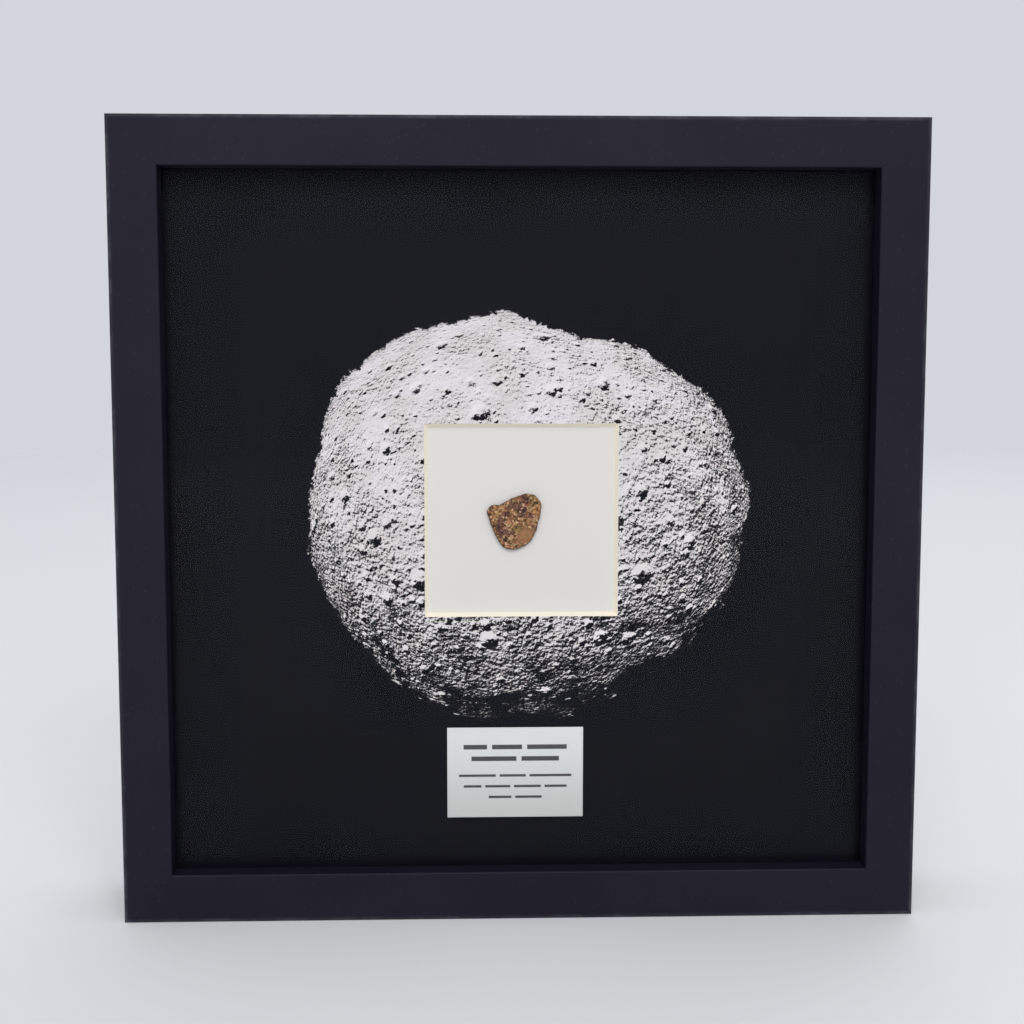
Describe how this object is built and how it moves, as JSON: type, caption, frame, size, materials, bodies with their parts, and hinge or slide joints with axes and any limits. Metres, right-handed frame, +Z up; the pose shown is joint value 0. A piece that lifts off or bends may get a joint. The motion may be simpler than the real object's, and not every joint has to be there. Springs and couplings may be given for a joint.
{
  "type": "framed achondrite meteorite slice",
  "caption": "Thin slice of an achondrite meteorite on a pale board, in the bevelled window of a printed mat, in a deep square box frame with glass, a small card and a hanger.",
  "frame": {"origin": "centre of the bounding box's bottom face: under the middle of the bottom rail, on the surface that the frame stands on", "axes": "+Z up, +X to the right of someone who faces the picture, -Y out of the picture towards the viewer"},
  "size_m": [0.25, 0.045, 0.25],
  "materials": {
    "frame_finish": "smooth matt charcoal foil over fibreboard",
    "clear_glass": "clear and polished",
    "card": "smooth cool white card with plain ruled lines",
    "print": "matt print of a grey rubble body on black, with a cream core at the bevel",
    "meteorite": "sawn stone, ochre and brown with pale crystals and a dark rim",
    "backing": "matt off-white board",
    "spacer": "raw grey board",
    "hardboard": "brown hardboard, smooth side out",
    "steel": "rolled spring steel",
    "hanger_brass": "plated and slightly dull",
    "rivet": "plain set rivet"
  },
  "bodies": {
    "root": {"frame_rail_bottom": "frame_finish", "frame_rail_left": "frame_finish", "frame_rail_top": "frame_finish", "frame_rail_right": "frame_finish", "glazing": "clear_glass", "label_card": "card", "printed_mat": "print", "meteorite_slice": "meteorite", "specimen_backing": "backing", "spacer_strip_bottom": "spacer", "spacer_strip_left": "spacer", "spacer_strip_top": "spacer", "spacer_strip_right": "spacer", "back_board": "hardboard", "retaining_point_1": "steel", "retaining_point_2": "steel", "retaining_point_3": "steel", "retaining_point_4": "steel", "retaining_point_5": "steel", "retaining_point_6": "steel", "retaining_point_7": "steel", "retaining_point_8": "steel", "hanger_plate": "hanger_brass", "hanger_rivet_left": "rivet", "hanger_rivet_right": "rivet"}
  },
  "joints": []
}
